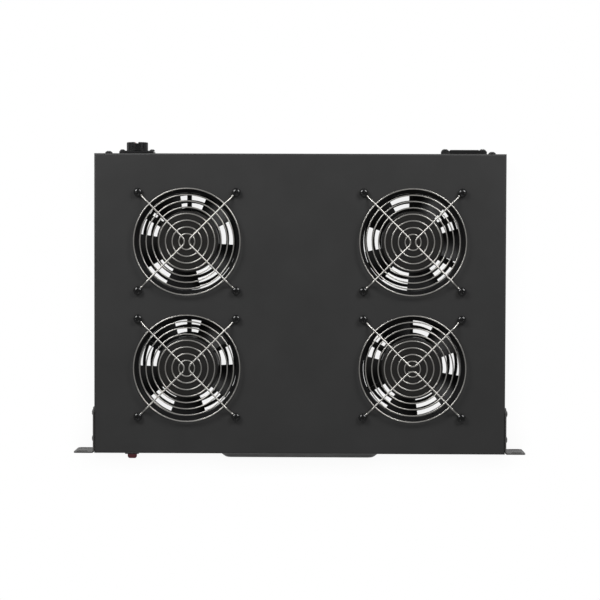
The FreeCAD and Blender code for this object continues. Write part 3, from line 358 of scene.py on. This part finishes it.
def guard_mesh():
    """Finger guard standing on z = 0: two bent wires with eyelets, with rings welded below them."""
    bm = bmesh.new()
    foot_z, arm_z = ARM_R, ARM_R + LIFT
    ring_z = arm_z - (ARM_R + RING_R - WELD)
    foot = EYE - EYELET_R * math.sqrt(0.5)
    outer, inner = STEP_OUT * math.sqrt(0.5), STEP_IN * math.sqrt(0.5)
    half = [(foot, foot_z), (outer, foot_z), (inner, arm_z)]
    radii = [STEP_R, STEP_R, APEX_R, STEP_R, STEP_R]
    for side in (-1, 1):
        points = [Vector((side * r, r, z)) for r, z in half] + [Vector((0, 0, arm_z))]
        points += [Vector((side * r, -r, z)) for r, z in half[::-1]]
        add_tube(bm, bent(points, radii), ARM_R)
        for up in (-1, 1):
            add_tube(bm, circle(EYELET_R, Vector((side * EYE, up * EYE, foot_z)), 32), ARM_R, closed=True)
    for r in RING_RADII:
        add_tube(bm, circle(r, Vector((0, 0, ring_z)), 96), RING_R, closed=True, sides=10)
        for side in (-1, 1):
            for up in (-1, 1):
                joint = Vector((side, up, 0)).normalized() * r
                joint.z = (arm_z + ring_z) / 2 - BLOB_DROP
                blob = bmesh.ops.create_uvsphere(bm, u_segments=10, v_segments=6, radius=BLOB_R)
                bmesh.ops.scale(bm, vec=BLOB_SHAPE, verts=blob["verts"])
                bmesh.ops.translate(bm, vec=joint, verts=blob["verts"])
    set_smooth(bm, math.radians(50))
    mesh = bpy.data.meshes.new("guard")
    bm.to_mesh(mesh)
    bm.free()
    return mesh


guard = guard_mesh()
for fan in FANS:
    low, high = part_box("guard_" + fan)
    middle = (low + high) / 2
    turn = math.pi / 2 if fan == "front_right" else 0
    piece = add_piece("guard_wires_" + fan, guard, "chassis", "guard_wire", (middle.x, middle.y, low.z), turn)
    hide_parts("guard_" + fan)


# ---- Camera, light and floor ----
BODY_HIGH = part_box("top_cover")[1]
CAMERA_HEIGHT = 2.05     # above the cover
ROLL = 0.18              # degrees
TRAY_HALF_D = 0.16
PHOTO_SPAN = 0.6384      # width seen at the height of the cover's top
SENSOR = 36.0
AIM_X, AIM_BEHIND = 0.0003, 0.0044     # point aimed at, from the tray's middle
EYE_X, EYE_BEHIND = 0.025, 0.0715      # the camera stands a little to the right and behind
SOFTBOX_SIZE = (0.75, 0.42)
SOFTBOX_WATTS = 14.5


def light(name, location, size, power, target):
    lamp = bpy.data.lights.new(name, "AREA")
    lamp.shape = "RECTANGLE"
    lamp.size, lamp.size_y = size
    lamp.energy = power
    holder = bpy.data.objects.new(name, lamp)
    bpy.context.scene.collection.objects.link(holder)
    holder.location = location
    holder.rotation_euler = (Vector(target) - Vector(location)).to_track_quat("-Z", "Y").to_euler()
    holder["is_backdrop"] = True


tray_centre = Vector((0, BODY_HIGH.y - TRAY_HALF_D, 0))
light("softbox_left", (-0.8, 1.0, 0.7), SOFTBOX_SIZE, SOFTBOX_WATTS, tray_centre)
light("softbox_right", (0.85, 1.05, 0.7), SOFTBOX_SIZE, SOFTBOX_WATTS, tray_centre)
light("front_fill", (0, -1.6, 1.6), (2.0, 1.5), 6, tray_centre)


def ray_share(tree, shares):
    """Socket holding the largest of the given shares among the ray kinds that a ray belongs to."""
    nodes, links = tree.nodes, tree.links
    path = nodes.new("ShaderNodeLightPath")
    total = None
    for kind, share in shares.items():
        part = nodes.new("ShaderNodeMath")
        part.operation = "MULTIPLY"
        part.inputs[1].default_value = share
        links.new(path.outputs[kind], part.inputs[0])
        if total is None:
            total = part
            continue
        largest = nodes.new("ShaderNodeMath")
        largest.operation = "MAXIMUM"
        links.new(total.outputs[0], largest.inputs[0])
        links.new(part.outputs[0], largest.inputs[1])
        total = largest
    return total.outputs[0]


FLOOR_SIZE = 30
FLOOR_GAP = 0.5 * MM
SHADE_REACH = 0.03          # how far from the tray the floor shades off
SHADE_SHARE = 0.84          # share of plain white where the floor is most shut in
FLOOR_IN_GLOSS = 0.8        # floor's and sky's share of white in reflections
SKY_IN_GLOSS = 0.14
SKY_LEVEL = 0.25

floor_mat = bpy.data.materials.new("floor")
floor_mat.use_nodes = True
tree = floor_mat.node_tree
floor_shader = tree.nodes["Principled BSDF"]
floor_shader.inputs["Base Color"].default_value = (0.95, 0.95, 0.95, 1)
floor_shader.inputs["Roughness"].default_value = 0.9
white = tree.nodes.new("ShaderNodeEmission")
white.inputs["Strength"].default_value = 1.0
mixed = tree.nodes.new("ShaderNodeMixShader")
# Painted shade: ambient occlusion lowers the floor's share of plain white under and near the tray, so that the
# floor is darker there.
open_sky = tree.nodes.new("ShaderNodeAmbientOcclusion")
open_sky.inputs["Distance"].default_value = SHADE_REACH
share = tree.nodes.new("ShaderNodeMapRange")
share.inputs["To Min"].default_value = SHADE_SHARE
share.inputs["To Max"].default_value = 1.0
tree.links.new(open_sky.outputs["AO"], share.inputs["Value"])
seen = tree.nodes.new("ShaderNodeMath")
seen.operation = "MULTIPLY"
tree.links.new(share.outputs["Result"], seen.inputs[0])
floor_rays = {"Is Camera Ray": 1.0, "Is Transmission Ray": 1.0, "Is Glossy Ray": FLOOR_IN_GLOSS}
tree.links.new(ray_share(tree, floor_rays), seen.inputs[1])
tree.links.new(seen.outputs[0], mixed.inputs["Fac"])
tree.links.new(floor_shader.outputs["BSDF"], mixed.inputs[1])
tree.links.new(white.outputs["Emission"], mixed.inputs[2])
tree.links.new(mixed.outputs["Shader"], tree.nodes["Material Output"].inputs["Surface"])
bpy.ops.mesh.primitive_plane_add(size=FLOOR_SIZE, location=(0, 0, cad_low.z - FLOOR_GAP))
floor = bpy.context.object
floor.name = "floor"
floor.data.materials.append(floor_mat)
floor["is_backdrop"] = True

world = bpy.data.worlds.new("studio")
bpy.context.scene.world = world
world.use_nodes = True
tree = world.node_tree
sky = tree.nodes["Background"]
sky.inputs["Color"].default_value = (1, 1, 1, 1)
sky.inputs["Strength"].default_value = SKY_LEVEL
backdrop = tree.nodes.new("ShaderNodeBackground")
backdrop.inputs["Color"].default_value = (1, 1, 1, 1)
backdrop.inputs["Strength"].default_value = 1.0
choose = tree.nodes.new("ShaderNodeMixShader")
sky_rays = {"Is Camera Ray": 1.0, "Is Transmission Ray": 1.0, "Is Glossy Ray": SKY_IN_GLOSS}
tree.links.new(ray_share(tree, sky_rays), choose.inputs["Fac"])
tree.links.new(sky.outputs["Background"], choose.inputs[1])
tree.links.new(backdrop.outputs["Background"], choose.inputs[2])
tree.links.new(choose.outputs["Shader"], tree.nodes["World Output"].inputs["Surface"])

camera_data = bpy.data.cameras.new("camera")
camera_data.sensor_width = SENSOR
camera_data.lens = SENSOR * CAMERA_HEIGHT / PHOTO_SPAN
camera = bpy.data.objects.new("camera", camera_data)
bpy.context.scene.collection.objects.link(camera)
aim = Vector((AIM_X, tray_centre.y + AIM_BEHIND, BODY_HIGH.z))
eye = Vector((EYE_X, tray_centre.y + EYE_BEHIND, BODY_HIGH.z + CAMERA_HEIGHT))
forward = (aim - eye).normalized()
right = forward.cross(Vector((0, 1, 0))).normalized()
turn = Matrix((right, right.cross(forward), -forward)).transposed().to_4x4()
camera.matrix_world = Matrix.Translation(eye) @ turn @ Matrix.Rotation(math.radians(ROLL), 4, "Z")
bpy.context.scene.camera = camera
bpy.context.scene.view_settings.view_transform = "Standard"

low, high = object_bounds()
